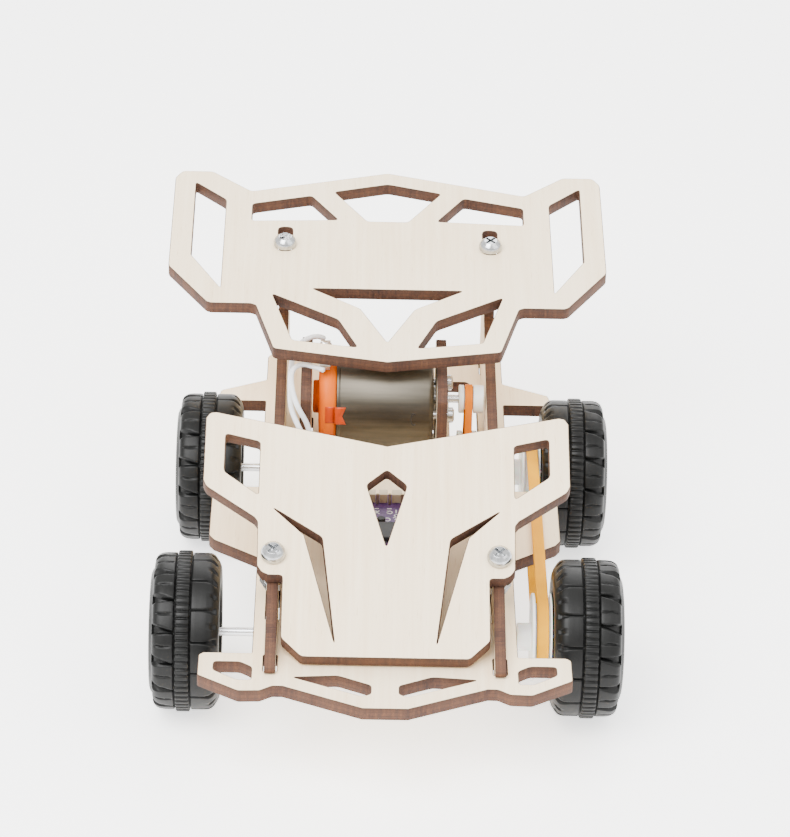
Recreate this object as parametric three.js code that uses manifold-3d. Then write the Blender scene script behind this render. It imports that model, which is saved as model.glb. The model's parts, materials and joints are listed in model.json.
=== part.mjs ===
// Four wheel robot chassis cut from plywood sheet, with belt drive to both axles.
// Millimetres, +X to the car's right, -Y forward, +Z up, floor at Z = 0.
import * as THREE from 'three';
import { mergeVertices } from 'three/addons/utils/BufferGeometryUtils.js';
import Module from 'manifold-3d';

const wasm = await Module();
wasm.setup();

// ---- driving dimensions -------------------------------------------------
const GAP = 0.3; // clearance kept between neighbouring solids
const DECK = 3.0; // thickness of the flat panels
const UPRIGHT = 2.5; // thickness of the standing plates
const LENGTH = 184.3; // bumper tip to the rear edge of the spoiler
const DECK_TOP = 25.8; // top face of the base plate above the floor
const WHEEL_R = 18.3;
const WHEEL_WIDTH = 15.8;
// Distance of each wheel's inner face from the middle of the car.
const WHEEL_IN = { front: { left: 37.2, right: 38 }, rear: { left: 34.6, right: 38 } };
const AXLE_Z = WHEEL_R;
const AXLE_R = 1.0;
const FRONT_Y = 41;
const REAR_Y = 114.5;
const SIDE_X = 25.4; // middle of each side plate
const HOOD = { y: 15, z: 3.2, tilt: THREE.MathUtils.degToRad(21.2) };
const SPOILER = { y: 103.8, z: 28.5, tilt: THREE.MathUtils.degToRad(7.5), length: 80.8 };
const HOOD_SCREW_V = 27.8; // distance up the hood from its front edge
const SPOILER_SCREW_V = 47.9;
const MOTOR = { y: 115, z: DECK_TOP + 12.5, r: 12.1, left: -11.7, right: 11.3, cap: 5.6 };
const MOUNT_X = { left: -19.2, right: 13.3 };
const BELT_X = 35.7; // middle of the belt that joins the two axles
const PULLEY_R = 10; // flange radius of the large pulleys
const PULLEY_CORE = 8;
const MOTOR_BELT_X = 20;
const MOTOR_CORE = 2.8; // core radius of the motor's pulley
const BELT = 0.8; // belt thickness
const TREAD_BLOCKS = 15; // tread blocks round each side of a tyre
const TREAD_R = WHEEL_R - 0.5; // top of those blocks
const BAND = { from: 6.6, to: 9.7 }; // the ribbed band round the middle of the tread
const BOARD = { w: 22, y0: 45.5, y1: 81, z: DECK_TOP + 4.0, t: 1.6, screwX: 8.2 };
const HOLDER = { y: 76.5, w: 52, d: 25, h: 12.6, wall: 1.2, roof: 1.4, screwX: 10 };
const CELL = { r: 5.25, length: 44.5, pitch: 6 }; // pitch: from the middle of the holder
const M3 = { r: 1.5, head: 2.8, headH: 2.3, length: 12, flats: 5.5, nutH: 2.4, nutDepth: 4.2 };
const SWITCH = { y: 150, w: 18, d: 6, h: 5.4 };

// ---- materials ----------------------------------------------------------
const material = (color, roughness, metalness) =>
  new THREE.MeshStandardMaterial({ color, roughness, metalness });
const plywood = () => material(0xeadcc6, 0.75, 0);
const steel = () => material(0xb9bcc0, 0.28, 1);
const blackPlastic = () => material(0x141416, 0.5, 0);
const rubber = () => material(0x0e0e10, 0.65, 0);
const milky = () => material(0xe4e6e2, 0.45, 0);
const tin = () => material(0xc9c7bf, 0.35, 1);

// ---- geometry helpers ---------------------------------------------------
const solidOf = (geometry) => {
  const bare = geometry.clone();
  bare.deleteAttribute('normal');
  bare.deleteAttribute('uv');
  const merged = mergeVertices(bare, 1e-5);
  return new wasm.Manifold(new wasm.Mesh({
    numProp: 3,
    vertProperties: new Float32Array(merged.attributes.position.array),
    triVerts: new Uint32Array(merged.index.array),
  }));
};

const geometryOf = (solid) => {
  const mesh = solid.getMesh();
  const geometry = new THREE.BufferGeometry();
  geometry.setAttribute('position', new THREE.BufferAttribute(mesh.vertProperties, 3));
  geometry.setIndex(new THREE.BufferAttribute(mesh.triVerts, 1));
  geometry.computeVertexNormals();
  return geometry;
};

const join = (...parts) => geometryOf(parts.map(solidOf).reduce((a, b) => a.add(b)));
const cut = (body, ...tools) =>
  geometryOf(tools.map(solidOf).reduce((a, b) => a.subtract(b), solidOf(body)));

const shapeOf = (points) => new THREE.Shape(points.map(([x, y]) => new THREE.Vector2(x, y)));
const mirrored = (points) => [...points, ...points.map(([x, y]) => [-x, y]).reverse()];
const flipped = (points) => points.map(([x, y]) => [-x, y]);
const rectangle = (x0, y0, x1, y1) => [[x0, y0], [x1, y0], [x1, y1], [x0, y1]];
const circle = (x, y, r, sides = 20) =>
  Array.from({ length: sides }, (_, i) => {
    const a = (2 * Math.PI * i) / sides;
    return [x + r * Math.cos(a), y + r * Math.sin(a)];
  });

// Replaces each sharp corner of an outline by a short arc.
const rounded = (points, radius, steps = 3) => points.flatMap(([x, y], i) => {
  const [px, py] = points[(i + points.length - 1) % points.length];
  const [nx, ny] = points[(i + 1) % points.length];
  const before = Math.hypot(px - x, py - y);
  const after = Math.hypot(nx - x, ny - y);
  const reach = Math.min(radius, before * 0.45, after * 0.45);
  const start = new THREE.Vector2(x + ((px - x) / before) * reach, y + ((py - y) / before) * reach);
  const end = new THREE.Vector2(x + ((nx - x) / after) * reach, y + ((ny - y) / after) * reach);
  const curve = new THREE.QuadraticBezierCurve(start, new THREE.Vector2(x, y), end);
  return curve.getPoints(steps).map((p) => [p.x, p.y]);
});

const slab = (outline, z0, z1) =>
  new THREE.ExtrudeGeometry(shapeOf(outline), { depth: z1 - z0, bevelEnabled: false })
    .translate(0, 0, z0);

// A flat panel whose top face is at local z = 0.
const panel = (outline, holes, thickness = DECK) => {
  const sheet = slab(outline, -thickness, 0);
  const cutters = holes.map((hole) => slab(hole, -thickness - 1, 1));
  return cut(sheet, ...cutters);
};

// A standing plate: outline given as (y, z), thickness centred on local x = 0.
const upright = (outline, holes, thickness = UPRIGHT) => {
  const sheet = slab(outline, -thickness / 2, thickness / 2);
  const cutters = holes.map((hole) => slab(hole, -thickness, thickness));
  return cut(sheet, ...cutters).rotateZ(Math.PI / 2).rotateY(Math.PI / 2);
};

// A turned piece about the X axis: profile given as (radius, x), closed on itself.
const turned = (profile, sides = 32) => {
  const points = [...profile, profile[0]].map(([r, x]) => new THREE.Vector2(r, x));
  return new THREE.LatheGeometry(points, sides).rotateZ(-Math.PI / 2);
};

const rod = (r, x0, x1, sides = 24) =>
  new THREE.CylinderGeometry(r, r, x1 - x0, sides).rotateZ(-Math.PI / 2)
    .translate((x0 + x1) / 2, 0, 0);
const post = (r, z0, z1, sides = 24) =>
  new THREE.CylinderGeometry(r, r, z1 - z0, sides).rotateX(Math.PI / 2)
    .translate(0, 0, (z0 + z1) / 2);
const box = (x0, y0, z0, x1, y1, z1) =>
  new THREE.BoxGeometry(x1 - x0, y1 - y0, z1 - z0)
    .translate((x0 + x1) / 2, (y0 + y1) / 2, (z0 + z1) / 2);

// ---- assembly -----------------------------------------------------------
const car = new THREE.Group();
car.position.y = -LENGTH / 2;
const hoodGroup = new THREE.Group();
hoodGroup.position.set(0, HOOD.y, DECK_TOP + HOOD.z);
hoodGroup.rotation.x = HOOD.tilt;
const spoilerGroup = new THREE.Group();
spoilerGroup.position.set(0, SPOILER.y, DECK_TOP + SPOILER.z);
spoilerGroup.rotation.x = SPOILER.tilt;
car.add(hoodGroup, spoilerGroup);

const add = (name, geometry, look, x = 0, y = 0, z = 0, group = car) => {
  const mesh = new THREE.Mesh(geometry, look);
  mesh.name = name;
  mesh.position.set(x, y, z);
  group.add(mesh);
  return mesh;
};

// Height of a tilted panel's underside over the floor, at distance y from the bumper tip.
const underside = (part, y) =>
  DECK_TOP + part.z + (y - part.y) * Math.tan(part.tilt) - DECK / Math.cos(part.tilt);

// ---- base plate ---------------------------------------------------------
const TAB_SLOT = UPRIGHT / 2 + GAP;
const LUG_HALF = 6; // half width of the lugs that carry the axles
const SIDE_TABS = [[14, 20], [74, 82], [150, 158]];
const MOUNT_TABS = [[104, 110], [120, 126]];

function basePlate() {
  const outline = mirrored([
    [5, 0], [22.5, 8.1], [24.7, 8.1], [27.4, 6.2], [32.2, 6], [41.3, 12],
    [41.3, 20], [40.3, 21], [29.5, 21],
    [29.5, 61], [39.8, 68.4], [41, 70.4], [41, 91.6], [39.8, 92.8], [29.5, 92.8],
    [29.5, 134.2], [40.6, 134.2], [41.5, 135.2], [40.6, 139.4], [29.5, 145],
    [29.5, 157], [25, 163.4],
  ]);
  const bumperWindow = [[37.8, 17.4], [32.1, 17.4], [29.4, 15.4], [29.4, 10.4], [32.6, 10.4],
    [37.9, 14.1]];
  const noseWindow = [[20.3, 11.7], [10.4, 12.5], [3.1, 8.9], [3.1, 5.6], [5.1, 4.7]];
  const beltSlot = [[15.9, 100], [22.8, 100], [22.8, 142.6], [20.4, 145.6], [15.9, 145.6]];
  const holes = [beltSlot];
  for (const side of [-1, 1]) {
    const flip = (points) => (side < 0 ? flipped(points) : points);
    holes.push(flip(rounded(bumperWindow, 0.8)), flip(rounded(noseWindow, 0.8)));
    const x = side * SIDE_X;
    const lugs = [FRONT_Y, REAR_Y].map((y) => [y - LUG_HALF, y + LUG_HALF]);
    for (const [y0, y1] of [...SIDE_TABS, ...lugs]) {
      holes.push(rectangle(x - TAB_SLOT, y0 - GAP, x + TAB_SLOT, y1 + GAP));
    }
    holes.push(circle(side * BOARD.screwX, BOARD.y0 + 4, 1.5, 12));
    holes.push(circle(side * HOLDER.screwX, HOLDER.y, 1.4, 12));
  }
  for (const x of [MOUNT_X.left, MOUNT_X.right]) {
    for (const [y0, y1] of MOUNT_TABS) {
      holes.push(rectangle(x - TAB_SLOT, y0 - GAP, x + TAB_SLOT, y1 + GAP));
    }
  }
  add('base_plate', panel(outline, holes), plywood(), 0, 0, DECK_TOP);
}

// ---- side plates --------------------------------------------------------
// A slot for a screw with a crossing pocket for its nut, square to a tilted panel.
function nutSlot(part, along) {
  const depth = M3.length - DECK + 1.2;
  const top = -DECK - M3.nutDepth;
  const pocket = { half: M3.flats / 2 + GAP, top, low: top - M3.nutH - 2 * GAP };
  const screw = rectangle(along - M3.r - GAP, -DECK - depth, along + M3.r + GAP, 4);
  const nut = rectangle(along - pocket.half, pocket.low, along + pocket.half, pocket.top);
  const wide = UPRIGHT + 4;
  return [screw, nut].map((outline) => upright(outline, [], wide)
    .rotateX(part.tilt).translate(0, part.y, DECK_TOP + part.z));
}

function sidePlates() {
  const low = DECK_TOP + GAP;
  const hoodEnd = 72;
  const postStart = 146;
  const postEnd = 161.5;
  const top = [
    [postEnd, underside(SPOILER, postEnd) - GAP], [postStart, underside(SPOILER, postStart) - GAP],
    [142.5, DECK_TOP + 20], [124, DECK_TOP + 16.2], [86, DECK_TOP + 12.5],
    [hoodEnd, underside(HOOD, hoodEnd) - GAP], [37, underside(HOOD, 37) - GAP],
    [12.3, DECK_TOP + 1.6],
  ];
  const bottom = [[12.3, low]];
  const feet = [
    { y0: 14, y1: 20 }, { lug: FRONT_Y }, { y0: 74, y1: 82 }, { lug: REAR_Y }, { y0: 150, y1: 158 },
  ];
  for (const foot of feet) {
    if (foot.lug) {
      const arc = Array.from({ length: 9 }, (_, i) => {
        const a = Math.PI + (Math.PI * i) / 8;
        return [foot.lug + LUG_HALF * Math.cos(a), AXLE_Z + 0.4 + LUG_HALF * Math.sin(a)];
      });
      bottom.push([foot.lug - LUG_HALF, low], ...arc, [foot.lug + LUG_HALF, low]);
    } else {
      const tip = DECK_TOP - DECK + GAP;
      bottom.push([foot.y0, low], [foot.y0, tip], [foot.y1, tip], [foot.y1, low]);
    }
  }
  bottom.push([postEnd, low]);
  const holes = [FRONT_Y, REAR_Y].map((y) => circle(y, AXLE_Z, AXLE_R + GAP, 16));
  const plate = upright([...bottom, ...top], holes);
  const slots = [...nutSlot(HOOD, HOOD_SCREW_V), ...nutSlot(SPOILER, SPOILER_SCREW_V)];
  const geometry = cut(plate, ...slots);
  add('side_plate_left', geometry, plywood(), -SIDE_X);
  add('side_plate_right', geometry.clone(), plywood(), SIDE_X);
}

// ---- motor mounting plates ----------------------------------------------
function motorPlates() {
  const low = DECK_TOP + GAP;
  const tip = DECK_TOP - DECK + GAP;
  const outline = [[100.5, low]];
  for (const [y0, y1] of MOUNT_TABS) {
    outline.push([y0, low], [y0, tip], [y1, tip], [y1, low]);
  }
  outline.push([129, low], [129, DECK_TOP + 20.5], [127.5, DECK_TOP + 22],
    [103, DECK_TOP + 22], [100.5, DECK_TOP + 19.5]);
  const boss = circle(MOTOR.y, MOTOR.z, 3.5, 20);
  const screwHoles = [-8, 8].map((d) => circle(MOTOR.y + d, MOTOR.z, 1.3, 12));
  const rearHole = circle(MOTOR.y, MOTOR.z, 2.6, 20);
  add('motor_plate_right', upright(outline, [boss, ...screwHoles]), plywood(), MOUNT_X.right);
  add('motor_plate_left', upright(outline, [rearHole]), plywood(), MOUNT_X.left);
}

// ---- hood and spoiler ---------------------------------------------------
function hoodPanel() {
  const outline = mirrored([
    [18.6, 0], [23.2, 5], [23.2, 22.2], [26.4, 22.2], [28, 23], [29, 24.8], [29.2, 37.2],
    [30, 38.4], [41.2, 47], [41.9, 48.8], [41.9, 67], [41, 68.6], [39.6, 68.8],
  ]);
  outline.splice(outline.length / 2, 0, [0, 59.6]);
  const window = [[37.2, 62.4], [29.2, 60.2], [29.2, 44.8], [37.2, 51.4]];
  const slit = [[25.8, 41.2], [14.5, 33], [11.3, 3.8], [18.6, 33.6]];
  const diamond = [[0, 52.6], [-4.6, 48.2], [0, 30.6], [4.6, 48.2]];
  const holes = [diamond];
  for (const side of [-1, 1]) {
    holes.push(...[window, slit].map((points) => (side < 0 ? flipped(points) : points)));
    holes.push(circle(side * SIDE_X, HOOD_SCREW_V, M3.r + GAP, 16));
  }
  add('hood_panel', panel(outline, holes), plywood(), 0, 0, 0, hoodGroup);
}

function spoilerPanel() {
  const outline = mirrored([
    [27.2, 4.6], [31.9, 22.2], [33.2, 22.8], [42.8, 22.8], [43.9, 23.3],
    [53.8, 38.2], [53.8, 77.2], [52, 80.2], [44.5, 80.2], [34.4, 71.5],
  ]);
  outline.splice(outline.length / 2, 0, [0, SPOILER.length]);
  outline.push([0, -0.2]);
  const slotHalf = 1.8;
  const windows = [
    [[48.5, 75], [40.6, 67.4], [40.7, 29.2], [48.4, 43]],
    [[33.9, 65.8], [19.2, 69.8], [12.4, 59.4], [33.9, 58.4]],
    [[28, 27], [11.9, 16.8], [7.2, 5.7], [22.8, 8.2]],
    rounded(rectangle(SIDE_X - slotHalf, 45.4, SIDE_X + slotHalf, 55.8), 1.4),
  ];
  const middle = [
    [[-13.4, 71.8], [0, 75.6], [13.4, 71.8], [5.1, 59], [-5.1, 59]],
    [[-18.4, 29.6], [18.4, 29.6], [6.6, 21.6], [0, 7.8], [-6.6, 21.6]],
  ];
  const holes = [...middle, ...windows, ...windows.map(flipped)];
  add('spoiler_panel', panel(outline, holes), plywood(), 0, 0, 0, spoilerGroup);
}

// ---- panel screws and nuts ----------------------------------------------
function screwGeometry() {
  const dome = [
    [0, 0.2 - M3.length], [M3.r - 0.3, 0.2 - M3.length], [M3.r, 0.6 - M3.length], [M3.r, GAP],
    [M3.head, GAP], [M3.head, 1.1], [2.45, 1.9], [1.6, GAP + M3.headH], [0, GAP + M3.headH],
  ].map(([r, z]) => new THREE.Vector2(r, z));
  const body = new THREE.LatheGeometry(dome, 24).rotateX(Math.PI / 2);
  const bar = () => new THREE.BoxGeometry(3, 0.65, 2.6).translate(0, 0, GAP + M3.headH);
  return cut(body, bar().rotateZ(Math.PI / 4), bar().rotateZ(-Math.PI / 4));
}

function nutGeometry() {
  const hex = circle(0, 0, M3.flats / Math.sqrt(3), 6);
  return panel(hex, [circle(0, 0, M3.r + GAP, 16)], M3.nutH);
}

function panelFasteners() {
  const seats = [
    ['hood', hoodGroup, HOOD_SCREW_V], ['spoiler', spoilerGroup, SPOILER_SCREW_V],
  ];
  for (const [label, group, along] of seats) {
    for (const [side, x] of [['left', -SIDE_X], ['right', SIDE_X]]) {
      add(`${label}_screw_${side}`, screwGeometry(), steel(), x, along, 0, group);
      add(`${label}_nut_${side}`, nutGeometry(), steel(), x, along, -DECK - M3.nutDepth - GAP, group);
    }
  }
}

// ---- motor --------------------------------------------------------------
function motor() {
  const { y, z, r, left, right, cap } = MOTOR;
  const can = turned([
    [0.001, left], [r, left], [r, right - 1.2], [r - 1.2, right], [3.1, right],
    [3.1, right + 1.6], [1.3, right + 1.6], [1.3, right - 3], [0.001, right - 3],
  ], 40);
  const threads = [-8, 8].map((d) => rod(1.3, right - 3.5, right + 1, 12).translate(0, d, 0));
  add('motor_can', cut(can, ...threads), material(0xa6a39c, 0.35, 1), 0, y, z);
  const lip = left - GAP;
  const bell = turned([
    [0.001, lip - cap], [4, lip - cap], [4, lip - cap + 1.4], [9.6, lip - cap + 1.4],
    [r - 0.5, lip - cap + 2.4], [r - 0.5, lip], [0.001, lip],
  ], 32);
  add('motor_cap', bell, material(0xd8702a, 0.45, 0), 0, y, z);
  for (const [index, d] of [[1, -5.6], [2, 8.8]]) {
    const stub = box(-1.2, -0.4, 0, 1.2, 0.4, 2.2);
    const height = Math.sqrt((r - 0.5) ** 2 - (Math.abs(d) - 0.4) ** 2) + GAP;
    add(`motor_terminal_${index}`, stub, tin(), lip - cap / 2, y + d, z + height);
  }
  const seat = MOUNT_X.right + UPRIGHT / 2 + GAP;
  for (const [index, d] of [[1, -8], [2, 8]]) {
    const head = turned([
      [0.001, right - 2.6], [1, right - 2.6], [1, seat], [1.9, seat], [1.9, seat + 1.1],
      [1.3, seat + 1.5], [0.001, seat + 1.5],
    ], 16);
    add(`motor_screw_${index}`, head, steel(), 0, y + d, z);
  }
  add('motor_shaft', rod(AXLE_R, right - 2.4, MOTOR_BELT_X + 3.8), steel(), 0, y, z);
}

// ---- pulleys and belts --------------------------------------------------
// Profile of a pulley with a flange of width edge on both sides of its core.
const flanged = (x0, x1, flange, core, edge) => [
  [AXLE_R + GAP, x0], [flange, x0], [flange, x0 + edge], [core, x0 + edge],
  [core, x1 - edge], [flange, x1 - edge], [flange, x1], [AXLE_R + GAP, x1],
];

function pulleys() {
  const hub = BELT_X - 5.6;
  const face = BELT_X - 2.4;
  const profile = [
    [AXLE_R + GAP, hub], [3.2, hub], [3.2, face], [PULLEY_R, face], [PULLEY_R, face + 0.7],
    [PULLEY_CORE - GAP, face + 0.7], [PULLEY_CORE - GAP, face + 4.1], [PULLEY_R, face + 4.1],
    [PULLEY_R, face + 4.5], [AXLE_R + GAP, face + 4.5],
  ];
  add('front_drive_pulley', turned(profile, 36), milky(), 0, FRONT_Y, AXLE_Z);
  add('rear_drive_pulley', turned(profile, 36), milky(), 0, REAR_Y, AXLE_Z);
  const half = 2.4;
  const inner = flanged(MOTOR_BELT_X - half, MOTOR_BELT_X + half, PULLEY_R, PULLEY_CORE - GAP, 1.3);
  add('rear_motor_pulley', turned(inner, 36), milky(), 0, REAR_Y, AXLE_Z);
  const small = [
    [AXLE_R + GAP, MOTOR_BELT_X - half], [3.4, MOTOR_BELT_X - half], [3.4, MOTOR_BELT_X - 1.1],
    [MOTOR_CORE - GAP, MOTOR_BELT_X - 1.1], [MOTOR_CORE - GAP, MOTOR_BELT_X + 1.1],
    [3.4, MOTOR_BELT_X + 1.1], [3.4, MOTOR_BELT_X + 3.6], [AXLE_R + GAP, MOTOR_BELT_X + 3.6],
  ];
  add('motor_pulley', turned(small, 24), milky(), 0, MOTOR.y, MOTOR.z);
}

// The outline of a belt pulled tight round two circles, as (y, z).
function loop(y0, z0, r0, y1, z1, r1, steps) {
  const span = Math.hypot(y1 - y0, z1 - z0);
  const heading = Math.atan2(z1 - z0, y1 - y0);
  const lean = Math.acos((r0 - r1) / span);
  const arc = (y, z, r, from, to) => Array.from({ length: steps + 1 }, (_, i) => {
    const a = from + ((to - from) * i) / steps;
    return [y + r * Math.cos(a), z + r * Math.sin(a)];
  });
  return [
    ...arc(y1, z1, r1, heading - lean, heading + lean),
    ...arc(y0, z0, r0, heading + lean, heading - lean + 2 * Math.PI),
  ];
}

function belts() {
  const ring = (y0, z0, r0, y1, z1, r1, width) => upright(
    loop(y0, z0, r0 + BELT, y1, z1, r1 + BELT, 14), [loop(y0, z0, r0, y1, z1, r1, 14)], width);
  const axleBelt = ring(FRONT_Y, AXLE_Z, PULLEY_CORE, REAR_Y, AXLE_Z, PULLEY_CORE, 2.7);
  add('axle_belt', axleBelt, material(0xf2c21a, 0.55, 0), BELT_X, 0, 0);
  const motorBelt = ring(REAR_Y, AXLE_Z, PULLEY_CORE, MOTOR.y, MOTOR.z, MOTOR_CORE, 1.8);
  add('motor_belt', motorBelt, material(0xf0a81e, 0.55, 0), MOTOR_BELT_X, 0, 0);
}

// ---- wheels and axles ---------------------------------------------------
// Local x runs from the inner face of the wheel (0) outwards.
function tyreGeometry() {
  const groove = 1.4;
  const pitch = (2 * Math.PI) / TREAD_BLOCKS;
  const outline = Array.from({ length: TREAD_BLOCKS }, (_, i) => {
    const at = (share, r) => [r * Math.cos((i + share) * pitch), r * Math.sin((i + share) * pitch)];
    const low = TREAD_R - groove;
    return [at(0, low), at(0.14, low), at(0.18, TREAD_R), at(0.57, TREAD_R), at(0.96, TREAD_R)];
  }).flat();
  const blocks = slab(outline, -1, WHEEL_WIDTH + 1).rotateY(Math.PI / 2);
  const outer = WHEEL_WIDTH - 0.9;
  const shoulder = turned([
    [11, 0], [15.6, 0], [16.1, 0.9], [16.9, 1], [TREAD_R + 0.1, 2.2],
    [TREAD_R + 0.1, outer - 1.6], [16.8, outer], [14.6, outer], [13.6, WHEEL_WIDTH],
    [11, WHEEL_WIDTH],
  ], 32);
  const carcass = geometryOf(solidOf(blocks).intersect(solidOf(shoulder)));
  const rib = turned([
    [12.5, BAND.from], [WHEEL_R, BAND.from], [WHEEL_R, BAND.to], [12.5, BAND.to],
  ], 40);
  return join(carcass, rib);
}

// The hub's boss starts at local x = reach: below 0 it sticks out past the tyre.
function hubGeometry(reach) {
  const rim = WHEEL_WIDTH - 1.2;
  return turned([
    [AXLE_R + GAP, reach], [2.9, reach], [2.9, 1.4], [10.7, 1.4], [10.7, rim], [9.5, rim],
    [9.2, 4], [3.2, 3], [3.2, 11], [AXLE_R + GAP, 11],
  ], 32);
}

function wheels() {
  for (const [end, y] of [['front', FRONT_Y], ['rear', REAR_Y]]) {
    const { left, right } = WHEEL_IN[end];
    for (const [side, x] of [['left', -left], ['right', right]]) {
      const boss = side === 'left' ? -1.4 : 0.2;
      const tyre = add(`${end}_${side}_tyre`, tyreGeometry(), rubber(), x, y, AXLE_Z);
      const hub = add(`${end}_${side}_hub`, hubGeometry(boss), blackPlastic(), x, y, AXLE_Z);
      if (side === 'left') {
        tyre.rotation.z = Math.PI;
        hub.rotation.z = Math.PI;
      }
    }
    add(`${end}_axle`, rod(AXLE_R, -left - 10.6, right + 10.6), steel(), 0, y, AXLE_Z);
  }
  const bore = AXLE_R + GAP;
  const collar = () => turned([[bore, -1.3], [2.5, -1.3], [2.5, 1.3], [bore, 1.3]], 20);
  const seat = SIDE_X - UPRIGHT / 2 - GAP - 1.3;
  add('front_collar_left', collar(), milky(), -seat, FRONT_Y, AXLE_Z);
  add('front_collar_right', collar(), milky(), seat, FRONT_Y, AXLE_Z);
  add('rear_collar_left', collar(), milky(), -seat, REAR_Y, AXLE_Z);
}

// ---- control board ------------------------------------------------------
function controlBoard() {
  const { w, y0, y1, z, t } = BOARD;
  const screwY = y0 + 4;
  const holes = [-BOARD.screwX, BOARD.screwX].map((x) => circle(x, screwY, 1.5, 12));
  const outline = rounded(rectangle(-w / 2, y0, w / 2, y1), 1.5);
  add('control_board', panel(outline, holes, t), material(0x4b2a78, 0.4, 0), 0, 0, z + t);
  const top = z + t + 0.2;
  add('board_chip', box(-3.5, -3.5, 0, 3.5, 3.5, 1.2), blackPlastic(), 0, 63, top);
  const tan = () => material(0xd8c7a0, 0.6, 0);
  add('board_socket_left', box(-3, -3, 0, 3, 3, 4), tan(), -7.6, y1 - 4, top);
  add('board_socket_right', box(-3, -3, 0, 3, 3, 4), tan(), 7.6, y1 - 4, top);
  const header = join(box(-3.9, -1.25, 0, 3.9, 1.25, 2.5), ...[-2.54, 0, 2.54].map((x) =>
    box(x - 0.32, -0.32, 2, x + 0.32, 0.32, 7.5)));
  add('board_header', header, blackPlastic(), 0, y1 - 3, top);
  for (const [side, x] of [['left', -BOARD.screwX], ['right', BOARD.screwX]]) {
    const sleeve = post(2.4, DECK_TOP + 0.2, z - 0.2, 20);
    const bore = post(1.5, DECK_TOP - 1, z + 1, 12);
    add(`board_spacer_${side}`, cut(sleeve, bore), milky(), x, screwY, 0);
    const head = post(2.3, z + t + 0.2, z + t + 1.6, 20);
    const screw = join(head, post(1.2, DECK_TOP - 2.8, z + t + 1, 12));
    add(`board_screw_${side}`, screw, steel(), x, screwY, 0);
  }
}

// ---- battery holder under the base plate --------------------------------
function battery() {
  const { y, w, d, h, wall, roof } = HOLDER;
  const top = DECK_TOP - DECK - GAP;
  const low = top - h;
  const shell = box(-w / 2, -d / 2, low, w / 2, d / 2, top);
  const inside = box(-w / 2 + wall, -d / 2 + wall, low - 2, w / 2 - wall, d / 2 - wall, top - roof);
  const bores = [-HOLDER.screwX, HOLDER.screwX].map((x) =>
    post(1.4, top - 4, top + 2, 12).translate(x, 0, 0));
  add('battery_holder', cut(shell, inside, ...bores), blackPlastic(), 0, y, 0);
  const cellZ = top - roof - GAP - CELL.r;
  for (const [index, side] of [[1, -1], [2, 1]]) {
    const half = CELL.length / 2;
    const can = rod(CELL.r, -half, half - 1, 28);
    const tip = rod(1.9, half - 1.5, half, 20);
    const cell = add(`battery_cell_${index}`, join(can, tip), material(0x2f6f4f, 0.35, 0.3),
      0, y + side * CELL.pitch, cellZ);
    if (side > 0) cell.rotation.z = Math.PI;
  }
  const roofLow = top - roof;
  for (const [index, x] of [[1, -HOLDER.screwX], [2, HOLDER.screwX]]) {
    const head = post(1.9, roofLow - 1.4, roofLow - 0.2, 18);
    const screw = join(head, post(1.1, roofLow - 1, DECK_TOP - 0.2, 12));
    add(`holder_screw_${index}`, screw, steel(), x, y, 0);
  }
}

// ---- power switch -------------------------------------------------------
function powerSwitch() {
  const { y, w, d, h } = SWITCH;
  const top = DECK_TOP - DECK - GAP;
  const shell = box(-w / 2, -d / 2, top - h, w / 2, d / 2, top);
  const track = box(-5, -1.7, top - h - 1, 5, 1.7, top - h + 1.9);
  add('switch_body', cut(shell, track), blackPlastic(), 0, y, 0);
  const knob = box(-2, -1.3, top - h - 2.6, 2, 1.3, top - h + 1.5);
  add('switch_knob', knob, milky(), -2, y, 0);
}

// ---- motor wires --------------------------------------------------------
function motorWires() {
  const bent = (points) => {
    const curve = new THREE.CatmullRomCurve3(
      points.map(([x, y, z]) => new THREE.Vector3(x, y, DECK_TOP + z)), false, 'centripetal');
    return new THREE.ExtrudeGeometry(shapeOf(circle(0, 0, 0.7, 8)), {
      steps: 28, extrudePath: curve, bevelEnabled: false,
    });
  };
  const upper = [[-14.9, 106.8, 24.2], [-17.6, 108.8, 24.1], [-20.2, 110.2, 24], [-22.4, 109.2, 23.2],
    [-22.8, 105.6, 21.8], [-22.1, 101.4, 20.2], [-20.9, 98.8, 18.2], [-19, 98.3, 14.8],
    [-17.8, 98, 11], [-16.2, 95.6, 8.6], [-12.4, 89, 8], [-8.6, 81, 8.2]];
  const lower = [[-14.9, 126.4, 22.2], [-17, 125.8, 23.2], [-19.6, 123.6, 23.4], [-22.2, 119.6, 22.6],
    [-23, 113, 20.4], [-23, 106, 18.4], [-22.6, 101, 16.8], [-21.3, 97.4, 15.2], [-19.7, 96.3, 12],
    [-18.5, 94.4, 8.6], [-15.6, 90.4, 6], [-10.4, 86.4, 6.2], [-6.7, 81, 8.2]];
  add('motor_wire_1', bent(upper), material(0xd9d7d2, 0.5, 0));
  add('motor_wire_2', bent(lower), material(0xbfc0c4, 0.5, 0));
}

basePlate();
sidePlates();
motorPlates();
hoodPanel();
spoilerPanel();
panelFasteners();
motor();
pulleys();
belts();
wheels();
controlBoard();
battery();
powerSwitch();
motorWires();

export default car;
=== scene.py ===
"""Looks of a four wheel robot chassis: laser-cut plywood, treaded wheels, belt drive, motor and board."""
import json
import math

import bmesh
import bpy
from mathutils import Matrix, Vector
from mathutils.geometry import tessellate_polygon


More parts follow.
